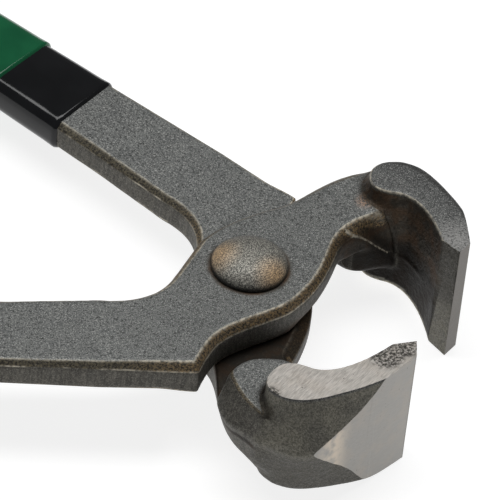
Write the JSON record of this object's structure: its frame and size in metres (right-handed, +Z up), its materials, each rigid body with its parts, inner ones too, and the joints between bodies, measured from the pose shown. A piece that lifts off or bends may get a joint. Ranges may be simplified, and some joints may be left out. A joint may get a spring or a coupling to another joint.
{
  "type": "hoof nipper",
  "caption": "Farrier's hoof nipper: two forged lever halves with curved, ground cutting jaws on a riveted lap joint, handles coated in layers of plastic dip.",
  "frame": {"origin": "under the middle of the half-open tool, on the surface that its jaws rest on", "axes": "+X along the tool from the handles to the jaws, +Z up along the rivet"},
  "size_m": [0.3274, 0.279, 0.0334],
  "materials": {
    "forged_steel": "shot-blasted forging, matte grey, with ground cutting faces",
    "rivet_steel": "blasted, with a warm heat tint near the rim",
    "black_dip": "glossy dipped vinyl",
    "green_dip": "glossy dipped vinyl"
  },
  "bodies": {
    "upper": {"upper_half": "forged_steel", "pivot_rivet": "rivet_steel", "upper_black_dip": "black_dip", "upper_green_dip": "green_dip"},
    "lower": {"lower_half": "forged_steel", "lower_black_dip": "black_dip", "lower_green_dip": "green_dip"}
  },
  "joints": [
    {"name": "jaw_pivot", "type": "hinge", "parent": "upper", "child": "lower", "pos_m": [0.11642, 0, 0.0167], "axis": [0, 0, 1], "range_deg": [-9.8, 39.2]}
  ]
}
